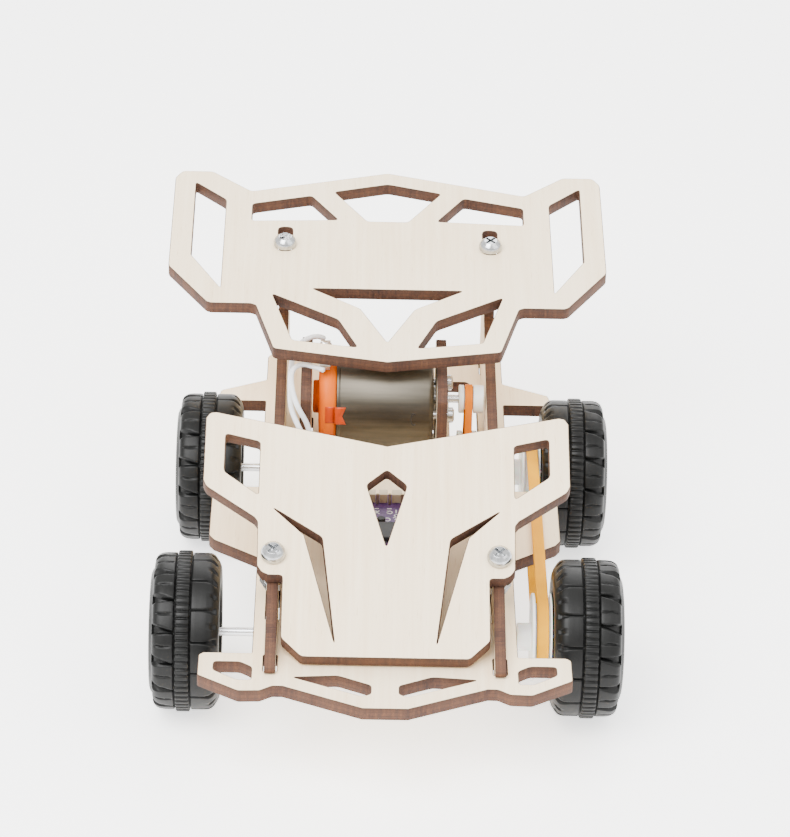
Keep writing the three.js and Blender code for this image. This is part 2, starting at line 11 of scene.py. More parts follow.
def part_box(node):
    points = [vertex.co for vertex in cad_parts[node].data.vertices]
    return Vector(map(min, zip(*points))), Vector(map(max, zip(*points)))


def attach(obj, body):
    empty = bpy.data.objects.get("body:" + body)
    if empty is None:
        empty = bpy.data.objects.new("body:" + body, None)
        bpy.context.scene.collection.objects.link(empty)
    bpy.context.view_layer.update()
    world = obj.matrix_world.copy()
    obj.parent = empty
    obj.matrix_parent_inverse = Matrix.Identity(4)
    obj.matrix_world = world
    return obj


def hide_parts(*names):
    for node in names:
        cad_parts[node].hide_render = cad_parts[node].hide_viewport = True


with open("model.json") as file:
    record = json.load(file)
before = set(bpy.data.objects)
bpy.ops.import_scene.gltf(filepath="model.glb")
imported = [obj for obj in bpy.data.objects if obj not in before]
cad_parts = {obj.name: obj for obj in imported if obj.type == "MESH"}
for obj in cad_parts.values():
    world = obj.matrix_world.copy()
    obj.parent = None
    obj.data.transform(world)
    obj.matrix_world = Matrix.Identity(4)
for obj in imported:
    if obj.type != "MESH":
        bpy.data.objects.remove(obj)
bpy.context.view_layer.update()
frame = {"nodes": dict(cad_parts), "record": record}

MM = 0.001
FULL_TURN = 2 * math.pi
NODES = frame["nodes"]
BODIES = {node: body for body, names in frame["record"]["behaviour"]["bodies"].items() for node in names}
SLOTS = {entry["node"]: entry["material_slot"] for entry in frame["record"]["subparts"]}


# ---- material building blocks -------------------------------------------
def grey(level):
    return (level, level, level)


class Look:
    """A small node tree round one Principled shader."""

    def __init__(self, name, color=(0.8, 0.8, 0.8), roughness=0.5, **sockets):
        self.material = bpy.data.materials.new(name)
        self.material.use_nodes = True
        self.nodes = self.material.node_tree.nodes
        self.links = self.material.node_tree.links
        self.shader = self.nodes["Principled BSDF"]
        self.shader.inputs["Base Color"].default_value = (*color, 1)
        self.shader.inputs["Roughness"].default_value = roughness
        for socket, value in sockets.items():
            self.shader.inputs[socket.replace("_", " ")].default_value = value
        self.space = self.add("ShaderNodeTexCoord").outputs["Object"]

    def add(self, kind, **settings):
        node = self.nodes.new(kind)
        for key, value in settings.items():
            setattr(node, key, value)
        return node

    def link(self, source, target):
        self.links.new(source, target)

    def stretch(self, scale, source=None):
        """Object coordinates multiplied by scale, in features per metre."""
        node = self.add("ShaderNodeMapping")
        node.inputs["Scale"].default_value = scale
        self.link(source or self.space, node.inputs["Vector"])
        return node.outputs["Vector"]

    def noise(self, scale, detail=3.0, roughness=0.5, source=None):
        node = self.add("ShaderNodeTexNoise")
        node.inputs["Scale"].default_value = 1.0
        node.inputs["Detail"].default_value = detail
        node.inputs["Roughness"].default_value = roughness
        self.link(self.stretch(scale, source), node.inputs["Vector"])
        return node.outputs["Fac"]

    def ramp(self, fac, stops):
        node = self.add("ShaderNodeValToRGB")
        elements = node.color_ramp.elements
        while len(elements) < len(stops):
            elements.new(0.5)
        for element, (place, color) in zip(elements, stops):
            element.position = place
            element.color = (*color, 1) if len(color) == 3 else color
        self.link(fac, node.inputs["Fac"])
        return node.outputs["Color"]

    def math(self, operation, a, b=None, c=None):
        node = self.add("ShaderNodeMath", operation=operation)
        for index, value in enumerate((a, b, c)):
            if value is None:
                continue
            if isinstance(value, (int, float)):
                node.inputs[index].default_value = value
            else:
                self.link(value, node.inputs[index])
        return node.outputs[0]

    def mix(self, fac, a, b, blend="MIX"):
        node = self.add("ShaderNodeMix", data_type="RGBA", blend_type=blend)
        for socket, value in ((node.inputs["Factor"], fac), (node.inputs[6], a), (node.inputs[7], b)):
            if isinstance(value, (int, float)):
                socket.default_value = value
            elif isinstance(value, tuple):
                socket.default_value = (*value, 1)
            else:
                self.link(value, socket)
        return node.outputs[2]

    def color(self, output):
        self.link(output, self.shader.inputs["Base Color"])
        return self

    def rough(self, fac, low, high):
        node = self.add("ShaderNodeMapRange")
        node.inputs["To Min"].default_value = low
        node.inputs["To Max"].default_value = high
        self.link(fac, node.inputs["Value"])
        self.link(node.outputs["Result"], self.shader.inputs["Roughness"])
        return self

    def bump(self, height, depth, strength=0.6):
        node = self.add("ShaderNodeBump")
        node.inputs["Distance"].default_value = depth
        node.inputs["Strength"].default_value = strength
        self.link(height, node.inputs["Height"])
        self.link(node.outputs["Normal"], self.shader.inputs["Normal"])
        return self


def wood_face():
    look = Look("birch_face", roughness=0.62)
    grain = look.noise((900, 26, 900), 5, 0.6)
    cloud = look.noise((38, 14, 38), 3, 0.5)
    fleck = look.noise((2600, 160, 2600), 2, 0.6)
    tone = look.ramp(grain, [(0.3, (0.78, 0.60, 0.38)), (0.7, (0.88, 0.73, 0.51))])
    warmth = look.ramp(cloud, [(0.35, grey(0)), (0.7, grey(0.55))])
    warm = look.mix(warmth, tone, (0.90, 0.77, 0.57))
    dots = look.ramp(fleck, [(0.28, (0.88, 0.84, 0.78)), (0.36, grey(1))])
    base = look.mix(1.0, warm, dots, "MULTIPLY")
    char = look.add("ShaderNodeAttribute", attribute_name="char").outputs["Fac"]
    ragged = look.math("ADD", char, look.math("MULTIPLY", look.noise((1500, 1500, 1500), 3), 0.5))
    edge = look.ramp(ragged, [(0.62, grey(0)), (1.2, grey(1))])
    look.color(look.mix(edge, base, (0.17, 0.07, 0.028)))
    return look.rough(grain, 0.55, 0.72).bump(grain, 0.00006, 0.35).material


def wood_edge(thickness):
    """A laser-burnt cut edge: dark plies across the sheet's thickness, in metres."""
    look = Look("burnt_edge_%d" % round(thickness * 1e4), roughness=0.8)
    split = look.add("ShaderNodeSeparateXYZ")
    look.link(look.space, split.inputs[0])
    level = look.math("ADD", look.math("DIVIDE", split.outputs["Z"], thickness), 0.5)
    scorch = look.noise((1300, 1300, 260), 4, 0.65)
    patch = look.noise((120, 120, 60), 2, 0.5)
    soot = look.noise((3800, 3800, 3800), 3, 0.7)
    plies = look.ramp(level, [
        (0.0, grey(0.30)), (0.06, grey(0.75)), (0.30, grey(0.85)), (0.335, grey(0.50)), (0.37, grey(1)),
        (0.63, grey(0.95)), (0.665, grey(0.50)), (0.70, grey(0.85)), (0.93, grey(0.65)), (1.0, grey(0.25)),
    ])
    brown = look.ramp(scorch, [
        (0.25, (0.018, 0.006, 0.003)), (0.5, (0.062, 0.021, 0.009)), (0.75, (0.125, 0.05, 0.022)),
    ])
    wide = look.mix(look.ramp(patch, [(0.35, grey(0)), (0.7, grey(0.7))]), brown, (0.12, 0.048, 0.02))
    layered = look.mix(0.85, wide, plies, "MULTIPLY")
    grains = look.ramp(soot, [(0.3, grey(0.5)), (0.6, grey(1.1))])
    look.color(look.mix(0.8, layered, grains, "MULTIPLY"))
    height = look.math("ADD", scorch, look.math("MULTIPLY", soot, 0.5))
    return look.rough(scorch, 0.7, 0.95).bump(height, 0.00012, 0.7).material


def tyre_look():
    look = Look("black_tyre", roughness=0.42, Specular_IOR_Level=0.2)
    fine = look.noise((1800, 1800, 1800), 4, 0.6)
    broad = look.noise((160, 160, 160), 3, 0.5)
    look.color(look.ramp(broad, [(0.3, (0.0012, 0.0013, 0.0012)), (0.7, (0.003, 0.0032, 0.003))]))
    return look.rough(broad, 0.30, 0.55).bump(fine, 0.00005, 0.35).material


def plastic(name, dark, light, low=0.4, high=0.6, scale=900, **sockets):
    look = Look(name, **sockets)
    broad = look.noise((scale / 6,) * 3, 3)
    fine = look.noise((scale,) * 3, 3)
    look.color(look.ramp(broad, [(0.3, dark), (0.7, light)]))
    return look.rough(broad, low, high).bump(fine, 0.00003, 0.3).material


def metal(name, dark, light, low, high, stretch=(120, 900, 900)):
    look = Look(name, Metallic=1.0)
    lines = look.noise(stretch, 4, 0.6)
    look.color(look.ramp(lines, [(0.3, dark), (0.7, light)]))
    return look.rough(lines, low, high).bump(lines, 0.00002, 0.25).material


def board_look():
    look = Look("purple_board", roughness=0.35)
    cell = look.add("ShaderNodeTexVoronoi", feature="DISTANCE_TO_EDGE")
    look.link(look.stretch((240, 240, 240)), cell.inputs["Vector"])
    trace = look.ramp(cell.outputs["Distance"], [(0.02, (0.13, 0.055, 0.20)), (0.06, (0.075, 0.028, 0.125))])
    mottle = look.noise((300, 300, 300), 3)
    clouds = look.ramp(mottle, [(0.4, grey(0)), (0.8, grey(0.4))])
    look.color(look.mix(clouds, trace, (0.10, 0.05, 0.15)))
    return look.rough(mottle, 0.28, 0.42).bump(cell.outputs["Distance"], 0.00002, 0.3).material


EVEN_GRAIN = (900, 900, 900)


def make_looks():
    """Every look, by material slot or by the name that a piece asks for."""
    return {
        "wood_face": wood_face(),
        "deck_edge": wood_edge(0.003),
        "upright_edge": wood_edge(0.0025),
        "tyre_rubber": tyre_look(),
        "wheel_plastic": plastic("black_wheel_plastic", grey(0.003), grey(0.006), 0.3, 0.5,
                                 Specular_IOR_Level=0.3),
        "black_plastic": plastic("black_moulded", grey(0.005), grey(0.011), 0.45, 0.6),
        "orange_plastic": plastic("orange_cap", (0.58, 0.095, 0.0), (0.66, 0.125, 0.0), 0.35, 0.5,
                                  Specular_IOR_Level=0.12),
        "pulley_plastic": plastic("milky_nylon", (0.70, 0.71, 0.69), (0.80, 0.81, 0.79), 0.35, 0.5,
                                  Subsurface_Weight=0.35, Subsurface_Scale=0.002),
        "yellow_belt": plastic("yellow_belt", (0.62, 0.27, 0.0), (0.72, 0.33, 0.0), 0.5, 0.7,
                               Specular_IOR_Level=0.1),
        "tan_plastic": plastic("tan_socket", (0.60, 0.50, 0.34), (0.70, 0.60, 0.44), 0.45, 0.6),
        "wire_sleeve": plastic("pale_wire", (0.66, 0.67, 0.68), (0.78, 0.79, 0.80), 0.3, 0.45),
        "cell_sleeve": plastic("cell_sleeve", (0.03, 0.12, 0.08), (0.05, 0.17, 0.11), 0.25, 0.35, 300),
        "screw_steel": metal("plated_screw", (0.34, 0.35, 0.36), (0.55, 0.56, 0.57), 0.14, 0.3, EVEN_GRAIN),
        "axle_steel": metal("bright_axle", (0.60, 0.61, 0.63), (0.75, 0.76, 0.78), 0.2, 0.34, (60, 900, 900)),
        "motor_steel": metal("motor_can", (0.07, 0.062, 0.049), (0.11, 0.098, 0.078), 0.36, 0.5,
                             (40, 500, 500)),
        "tinned_metal": metal("tinned_metal", (0.62, 0.60, 0.56), (0.76, 0.74, 0.70), 0.2, 0.4, EVEN_GRAIN),
        "board_laminate": board_look(),
        # darker orange: the cap's real tab with painted shade, and a band that is painted shade on the cap
        "orange_tab_and_painted_shade": plastic("tab_orange_and_painted_shade", (0.36, 0.03, 0.0), (0.46, 0.045, 0.0), 0.3, 0.45,
                                 Specular_IOR_Level=0.35),
        "amber_belt": plastic("amber_belt", (0.55, 0.13, 0.0), (0.62, 0.16, 0.0), 0.5, 0.7,
                              Specular_IOR_Level=0.1),
        "pin_metal": metal("pin_metal", (0.42, 0.33, 0.18), (0.58, 0.47, 0.28), 0.3, 0.45, EVEN_GRAIN),
        # darker, rougher metal: painted shade of the groove pressed into the motor can
        "stamp_groove_shade_metal": metal("stamp_groove_painted_shade", (0.05, 0.045, 0.04), (0.09, 0.085, 0.08), 0.5, 0.7),
        "print_white": plastic("board_print", (0.75, 0.74, 0.72), (0.88, 0.87, 0.85), 0.6, 0.7),
    }


LOOKS = make_looks()


# ---- mesh helpers -------------------------------------------------------
def piece(name, data, body, looks, replaces=()):
    """A new object that rides on a body, has a material slot and may stand in for CAD nodes."""
    obj = bpy.data.objects.new(name, data)
    bpy.context.scene.collection.objects.link(obj)
    for look in looks:
        data.materials.append(LOOKS[look])
    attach(obj, body)
    if replaces:
        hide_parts(*replaces)
    return obj


def mesh_of(name, verts, faces, smooth=True):
    """A mesh from points in millimetres."""
    mesh = bpy.data.meshes.new(name)
    mesh.from_pydata([tuple(c * MM for c in v) for v in verts], [], faces)
    work = bmesh.new()
    work.from_mesh(mesh)
    bmesh.ops.recalc_face_normals(work, faces=work.faces)
    work.to_mesh(mesh)
    work.free()
    for polygon in mesh.polygons:
        polygon.use_smooth = smooth
    return mesh


def ring_mesh(name, sections, closed=True, caps=False):
    """Joins rings of equally many points, one after the other."""
    count = len(sections[0])
    verts = [point for section in sections for point in section]
    faces = []
    for i in range(len(sections) if closed else len(sections) - 1):
        j = (i + 1) % len(sections)
        for k in range(count):
            m = (k + 1) % count
            faces.append((i * count + k, i * count + m, j * count + m, j * count + k))
    if caps:
        faces.append(tuple(range(count)))
        faces.append(tuple(len(verts) - 1 - k for k in range(count)))
    return mesh_of(name, verts, faces)


def tube(name, path, radius, sides=12):
    """A round wire along a path in millimetres."""
    points = [Vector(p) for p in path]
    sections = []
    normal = None
    for i, point in enumerate(points):
        along = (points[min(i + 1, len(points) - 1)] - points[max(i - 1, 0)]).normalized()
        if normal is None:
            normal = along.orthogonal().normalized()
        normal = (normal - along * normal.dot(along)).normalized()
        across = along.cross(normal)
        turns = (FULL_TURN * k / sides for k in range(sides))
        sections.append([point + (normal * math.cos(a) + across * math.sin(a)) * radius for a in turns])
    return ring_mesh(name, sections, closed=False, caps=True)


def lathe(name, profile, sides=64):
    """A turned mesh about the X axis from (radius, x) points."""
    sections = []
    for i in range(sides):
        a = FULL_TURN * i / sides
        sections.append([(x, r * math.cos(a), r * math.sin(a)) for r, x in profile])
    return ring_mesh(name, sections)


def block(name, boxes):
    """Boxes (x0, y0, z0, x1, y1, z1) in one mesh."""
    verts, faces = [], []
    for x0, y0, z0, x1, y1, z1 in boxes:
        base = len(verts)
        verts += [(x, y, z) for z in (z0, z1) for x, y in ((x0, y0), (x1, y0), (x1, y1), (x0, y1))]
        faces += [tuple(base + i for i in face) for face in (
            (0, 3, 2, 1), (4, 5, 6, 7), (0, 1, 5, 4), (1, 2, 6, 5), (2, 3, 7, 6), (3, 0, 4, 7))]
    return mesh_of(name, verts, faces, smooth=False)


def soft_edges(obj, width, angle=32, segments=2):
    bevel = obj.modifiers.new("softened_edges", "BEVEL")
    bevel.width = width * MM
    bevel.segments = segments
    bevel.limit_method = "ANGLE"
    bevel.angle_limit = math.radians(angle)


def box_middle(node):
    low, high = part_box(node)
    return (low + high) / 2


def thickness_axis(node):
    """The direction that most of a sheet's surface faces, taken as pointing up or right."""
    totals = {}
    for polygon in NODES[node].data.polygons:
        key = tuple(round(abs(c), 2) for c in polygon.normal)
        entry = totals.setdefault(key, [0.0, polygon.normal.copy()])
        entry[0] += polygon.area
    normal = max(totals.values(), key=lambda entry: entry[0])[1]
    return normal if normal.z > 0.1 or normal.x > 0.5 else -normal


def welded(node):
    """A working copy of a CAD node's mesh with flat areas joined up."""
    work = bmesh.new()
    work.from_mesh(NODES[node].data)
    for face in work.faces:
        face.material_index = 0
    bmesh.ops.remove_doubles(work, verts=work.verts, dist=1e-6)
    return work


def softened(node, look, width):
    """A CAD piece again, with edges softened over width millimetres and smooth turned faces."""
    work = welded(node)
    bmesh.ops.dissolve_limit(work, angle_limit=0.01, verts=work.verts, edges=work.edges)
    for edge in work.edges:
        edge.smooth = edge.calc_face_angle(0) < math.radians(32)
    for face in work.faces:
        face.smooth = True
    mesh = bpy.data.meshes.new(node + "_shape")
    middle = box_middle(node)
    bmesh.ops.translate(work, verts=work.verts, vec=-middle)
    work.to_mesh(mesh)
    work.free()
    obj = piece(node + "_shape", mesh, BODIES[node], [look], [node])
    obj.location = middle
    soft_edges(obj, width)
    return obj


# ---- plywood ------------------------------------------------------------
def outlines(work):
    """The closed loops round the sheet's upper face, as lists of 2-D points."""
    follow = {}
    for face in work.faces:
        if face.normal.z < 0.99:
            continue
        for loop in face.loops:
            if any(other.normal.z < 0.5 for other in loop.edge.link_faces):
                follow[loop.vert] = loop.link_loop_next.vert
    loops = []
    while follow:
        vert = next(iter(follow))
        points = []
        while vert in follow:
            points.append(vert.co.xy.copy())
            vert = follow.pop(vert)
        loops.append(straightened(points))
    return loops


def straightened(points):
    """The loop without the points that lie on a straight stretch."""
    kept = []
    for i, point in enumerate(points):
        into = (point - points[i - 1]).normalized()
        out = (points[(i + 1) % len(points)] - point).normalized()
        if abs(into.x * out.y - into.y * out.x) > 0.01 or into.dot(out) < 0:
            kept.append(point)
    return kept


def rounded(points, radius):
    """The loop with each sharp corner turned into a short arc."""
    result = []
    for i, point in enumerate(points):
        before, after = points[i - 1] - point, points[(i + 1) % len(points)] - point
        reach = min(radius, before.length * 0.4, after.length * 0.4)
        start, end = point + before.normalized() * reach, point + after.normalized() * reach
        if before.angle(after) > math.radians(150):
            result.append(point)
            continue
        for share in (0, 0.25, 0.5, 0.75, 1):
            result.append(start.lerp(point, share).lerp(point.lerp(end, share), share))
    return result


def shrunk(points, distance):
    """The loop moved into the wood, which lies on its left."""
    result = []
    for i, point in enumerate(points):
        into = (point - points[i - 1]).normalized()
        out = (points[(i + 1) % len(points)] - point).normalized()
        normal = Vector((-into.y - out.y, into.x + out.x)).normalized()
        lean = max(0.5, normal.dot(Vector((-into.y, into.x))))
        result.append(point + normal * distance / lean)
    return result


def sheet_mesh(name, loops, thickness):
    """A sheet with charred, slightly rounded edges, from the loops round its upper face."""
    half = thickness / 2
    work = bmesh.new()
    char = work.verts.layers.float.new("char")
    steps = [(0.3, half, 0), (0.12, half, 0.75), (0.035, half - 0.035 * MM, 1), (0, half - 0.12 * MM, 1)]
    steps += [(inset, -z, mark) for inset, z, mark in reversed(steps)]
    flat_bands = (0, len(steps) - 2)
    inner = {1: [], -1: []}
    for loop in loops:
        rings = []
        for inset, z, mark in steps:
            ring = [work.verts.new((p.x, p.y, z)) for p in shrunk(loop, inset * MM)]
            for vert in ring:
                vert[char] = mark
            rings.append(ring)
        for band, (upper, lower) in enumerate(zip(rings, rings[1:])):
            for i in range(len(loop)):
                j = (i + 1) % len(loop)
                face = work.faces.new((upper[j], upper[i], lower[i], lower[j]))
                face.material_index = 0 if band in flat_bands else 1
                face.smooth = band not in flat_bands
        inner[1].append(rings[0])
        inner[-1].append(rings[-1])
    for sign, rings in inner.items():
        flat = [vert for ring in rings for vert in ring]
        for triple in tessellate_polygon([[vert.co for vert in ring] for ring in rings]):
            corners = [flat[i] for i in triple]
            face = work.faces.new(corners)
            face.normal_update()
            if face.normal.z * sign < 0:
                face.normal_flip()
    for edge in work.edges:
        edge.smooth = edge.calc_face_angle(0) < math.radians(50)
    mesh = bpy.data.meshes.new(name)
    work.to_mesh(mesh)
    work.free()
    return mesh


def wood_piece(node):
    """A plywood sheet: its cut edges are charred, and its faces are pale."""
    axis = thickness_axis(node)
    side = Vector((0, 1, 0)) if abs(axis.x) > 0.5 else Vector((1, 0, 0))
    other = axis.cross(side)
    place = Matrix((side, other, axis)).transposed().to_4x4()
    place.translation = box_middle(node)
    work = welded(node)
    bmesh.ops.transform(work, matrix=place.inverted(), verts=work.verts)
    for face in work.faces:
        face.normal_update()
    reach = [v.co.z for v in work.verts]
    middle = (max(reach) + min(reach)) / 2
    thickness = max(reach) - min(reach)
    corner = 0.9 if node in ("hood_panel", "spoiler_panel") else 0.5
    loops = [rounded(points, corner * MM) for points in outlines(work)]
    work.free()
    mesh = sheet_mesh(node + "_wood", loops, thickness)
    edge = "deck_edge" if thickness > 2.75 * MM else "upright_edge"
    obj = piece(node + "_wood", mesh, BODIES[node], ["wood_face", edge], [node])
    obj.matrix_world = place @ Matrix.Translation((0, 0, middle))
    return obj


# ---- wheels -------------------------------------------------------------
RIB_NOTCHES = 68
TREAD_BLOCKS = 15
TYRE_STEPS = 8 * RIB_NOTCHES
SPOKES = 5
PARKED_TURN = {"left": 0.13, "right": 0.31}
# Radius, distance from the tyre's inner side, and tread zone, round the section.
TYRE_PROFILE = [
    (10.75, 1.6, ""), (10.75, 0.3, ""), (11.1, 0, ""), (12.4, 0.12, ""), (13.6, 0, ""), (14.9, 0, ""),
    (15.7, 0.3, ""), (16.3, 0.7, ""), (16.9, 1.1, "inner"), (17.4, 1.6, "inner"), (17.7, 2.2, "inner"),
    (17.8, 3, "inner"), (17.8, 4, "inner"), (17.8, 5, "inner"), (17.8, 5.9, "inner"), (17.72, 6.25, "inner"),
    (17.1, 6.36, ""), (17.1, 6.55, ""), (18.15, 6.65, "rib"), (18.28, 6.9, "rib"), (18.28, 8.15, "rib"),
    (18.28, 9.4, "rib"), (18.15, 9.65, "rib"), (17.1, 9.75, ""), (17.1, 9.95, ""), (17.72, 10.05, "outer"),
    (17.8, 10.4, "outer"), (17.8, 11.2, "outer"), (17.8, 12, "outer"), (17.75, 12.8, "outer"),
    (17.6, 13.5, "outer"), (17.3, 14.1, "outer"), (16.9, 14.55, "outer"), (16.3, 14.85, "outer"),
    (15.6, 14.9, ""), (14.8, 14.9, ""), (14.3, 15.1, ""), (13.8, 15.5, ""), (13.1, 15.75, ""),
    (12, 15.75, ""), (11.2, 15.5, ""), (10.75, 15.1, ""), (10.75, 14.2, ""),
]


def notch(phase, width):
    """1 inside a groove centred on phase 0, 0 outside it, with soft walls."""
    phase = (phase + 0.5) % 1 - 0.5
    half = width / 2
    return max(0.0, min(1.0, (half - abs(phase)) / 0.02 + 0.5))


def tread_depth(zone, turn, x):
    """Depth of the tread pattern under its outline, in millimetres."""
    if zone == "rib":
        return 0.55 * max(0.0, min(1.0, (0.19 - abs((turn * RIB_NOTCHES) % 1 - 0.5)) / 0.1))
    across = turn * TREAD_BLOCKS
    if zone == "outer":
        reach = (x - 10) / 4.8
        wedge = 1.5 * notch(across - 0.1 * reach, 0.07 + 0.27 * max(0, reach) ** 1.6)
        sipe = 0.6 * notch(across + 0.45 - 0.12 * abs(reach - 0.45), 0.05) * (0.15 < reach < 0.8)
        return max(wedge, sipe)
    if zone == "inner":
        groove = 0.9 * notch(across + 0.3, 0.055 + 0.16 * max(0, (2.8 - x) / 1.8))
        bite = 0.7 * notch(across - 0.2, 0.16) * (x < 2.1)
        return max(groove, bite)
    return 0.0


def tyre_mesh():
    sections = []
    for i in range(TYRE_STEPS):
        turn = i / TYRE_STEPS
        a = FULL_TURN * turn
        ring = []
        for r, x, zone in TYRE_PROFILE:
            level = r - tread_depth(zone, turn, x)
            ring.append((x, level * math.cos(a), level * math.sin(a)))
        sections.append(ring)
    mesh = ring_mesh("tyre", sections)
    mesh.materials.append(LOOKS["tyre_rubber"])
    return mesh


def hub_mesh():
    """A dished rim with five spokes and a cap over the axle's end."""
    rim = lathe("rim", [
        (1.4, 13.0), (2.6, 13.0), (3.1, 12.6), (3.3, 11.4), (4.4, 10.6), (8.4, 10.2), (9.2, 10.8),
        (9.5, 13.4), (9.9, 14.5), (10.6, 14.6), (10.72, 14.2), (10.72, 1.6), (10.5, 1.4), (3.1, 1.4),
        (2.9, 1.2), (2.9, 0.4), (1.4, 0.4),
    ], 72)
    work = bmesh.new()
    work.from_mesh(rim)
    for i in range(SPOKES):
        a = FULL_TURN * i / SPOKES
        spoke = block("spoke", [(10.3, -1.1, 2.9, 12.2, 1.1, 9.6)])
        spoke.transform(Matrix.Rotation(a, 4, "X"))
        work.from_mesh(spoke)
        bpy.data.meshes.remove(spoke)
    work.to_mesh(rim)
    work.free()
    rim.materials.append(LOOKS["wheel_plastic"])
    return rim


def wheel_pieces():
    tread, rim = tyre_mesh(), hub_mesh()
    for end in ("front", "rear"):
        for side in ("left", "right"):
            node = "%s_%s_tyre" % (end, side)
            low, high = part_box(node)
            left = side == "left"
            inner = high.x if left else low.x
            place = Matrix.Translation((inner, (low.y + high.y) / 2, (low.z + high.z) / 2))
            if left:
                place = place @ Matrix.Rotation(math.pi, 4, "Z")
            place = place @ Matrix.Rotation(PARKED_TURN[side], 4, "X")
            obj = piece(node + "_tread", tread, BODIES[node], [], [node])
            obj.matrix_world = place
            hub = node.replace("tyre", "hub")
            obj = piece(hub + "_rim", rim, BODIES[hub], [], [hub])
            obj.matrix_world = place
            soft_edges(obj, 0.15, 40)


# ---- motor --------------------------------------------------------------
CAN_RADIUS = 12.1
CAP_RADIUS = 11.6
CAN_ROUNDING = 1.3
CAP_LENGTH = 5.9


def placed(name, mesh, look, place, replaces=()):
    """A piece of the chassis whose mesh is drawn round its own origin."""
    obj = piece(name, mesh, "chassis", [look], replaces)
    obj.location = place
    return obj


def can_pieces(axis, left, face):
    """The can from its left end to its right face, and the boss round the shaft."""
    corner = []
    for i in range(7):
        a = math.pi / 2 * i / 6
        corner.append((CAN_RADIUS - CAN_ROUNDING + CAN_ROUNDING * math.cos(a),
                       face - CAN_ROUNDING + CAN_ROUNDING * math.sin(a)))
    shell = [(11.2, left - 0.2), (12.0, left - 0.2), (12.1, left - 0.05)]
    ridge = [(12.1, left + 0.55), (12.02, left + 0.65), (12.02, left + 0.8), (12.1, left + 0.9)]
    mesh = lathe("can", shell + ridge + corner + [(3.4, face), (3.4, face - 1), (11.2, face - 2)], 96)
    placed("motor_can_shell", mesh, "motor_steel", axis, ["motor_can"])
    boss = lathe("boss", [
        (1.3, face - 1), (3.1, face - 1), (3.1, face + 1.4), (2.9, face + 1.6), (1.3, face + 1.6),
    ], 40)
    placed("motor_boss", boss, "tinned_metal", axis)


def cap_piece(axis, left):
    tip = left - CAP_LENGTH
    mesh = lathe("cap", [
        (2.4, tip), (3.7, tip), (4, tip + 0.3), (4, tip + 1.3), (9.4, tip + 1.5), (10.6, tip + 1.8),
        (11.3, tip + 2.4), (11.6, tip + 3.1), (11.6, left - 0.35), (11.3, left - 0.22), (2.4, left - 0.22),
    ], 96)
    placed("motor_cap_shell", mesh, "orange_plastic", axis, ["motor_cap"])


def patch(name, axis, x0, x1, radius, rise, notch_depth=0.0):
    """A thin curved plate of darker orange that lies on the motor's front, notched at its right end; the
    darker orange is painted shade.
    """
    from_deg, to_deg, count = -4, 17, 12
    verts, faces = [], []
    for i in range(count + 1):
        a = math.radians(180 - from_deg - (to_deg - from_deg) * i / count)
        end = x1 - notch_depth * (1 - abs(2 * i / count - 1))
        for r in (radius - 0.3, radius + rise):
            for x in (x0, end):
                verts.append((x, r * math.cos(a), r * math.sin(a)))
    for i in range(count):
        b, n = i * 4, i * 4 + 4
        faces += [(b, b + 1, n + 1, n), (b + 2, n + 2, n + 3, b + 3), (b, n, n + 2, b + 2),
                  (b + 1, b + 3, n + 3, n + 1)]
    faces += [(0, 2, 3, 1), (count * 4, count * 4 + 1, count * 4 + 3, count * 4 + 2)]
    placed(name, mesh_of(name, verts, faces), "orange_tab_and_painted_shade", axis)


def can_stamp(axis):
    """An open ring pressed into the front of the can, drawn as a thin dark wire whose darker metal is painted
    shade in the pressed groove.
    """
    arc = []
    for i in range(17):
        a = math.radians(50 + 260 * i / 16)
        tilt = math.radians(180 - 4 - 7.4 * math.sin(a))
        x = 6.6 + 0.62 * math.cos(a)
        arc.append((x, 12.08 * math.cos(tilt), 12.08 * math.sin(tilt)))
    placed("can_stamp", tube("can_stamp", arc, 0.13, 8), "stamp_groove_shade_metal", axis)


def solder_mesh(index):
    """An uneven blob of solder, longer along X."""
    work = bmesh.new()
    bmesh.ops.create_icosphere(work, subdivisions=3, radius=1.0)
    for vert in work.verts:
        c = vert.co
        swell = 1 + 0.12 * math.sin(5 * c.x + 2 * index) * math.cos(4 * c.y + 3 * c.z)
        vert.co = Vector((c.x * 1.5, c.y, c.z)) * swell * MM
    mesh = bpy.data.meshes.new("solder")
    work.to_mesh(mesh)
    work.free()
    for polygon in mesh.polygons:
        polygon.use_smooth = True
    return mesh


def motor_pieces():
    low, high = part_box("motor_can")
    axis = Vector((0, (low.y + high.y) / 2, (low.z + high.z) / 2))
    left, right = low.x / MM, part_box("motor_plate_right")[0].x / MM
    can_pieces(axis, left, right - 0.75)
    cap_piece(axis, left)
    # the tab is the cap's real tab, darkened with painted shade; the band is painted shade on the cap only
    patch("cap_tab", axis, left - 0.6, left + 2.1, CAN_RADIUS, 0.05, 0.9)
    patch("cap_painted_shade_band", axis, left - 2.9, left - 0.4, CAP_RADIUS, 0.04)
    can_stamp(axis)
    for index in (1, 2):
        low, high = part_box("motor_terminal_%d" % index)
        place = ((low.x + high.x) / 2, (low.y + high.y) / 2 - 0.2 * MM, low.z + 1.3 * MM)
        placed("solder_%d" % index, solder_mesh(index), "tinned_metal", place)


# ---- control board ------------------------------------------------------
# Printed strokes from (x, y) to (x, y), in millimetres from the middle of the board's rear edge.
PRINTED_LINES = [
    (-2.6, -6.6, -1.5, -6.6), (-2.2, -8.9, -2.2, -7.5), (-2.1, -8.2, -1.4, -7.5), (-2.1, -8.2, -1.4, -8.9),
    (0.4, -6.6, 1.5, -6.6), (0.5, -8.9, 0.5, -7.5), (2.5, -8.6, 2.5, -7.0), (1.8, -10.6, 2.9, -10.0),
    (-2.4, -14.6, -0.6, -14.6), (-1.6, -15.4, 1.0, -15.6), (0.4, -13.8, 1.6, -16.2),
]
PRINT_WIDTH = 0.24


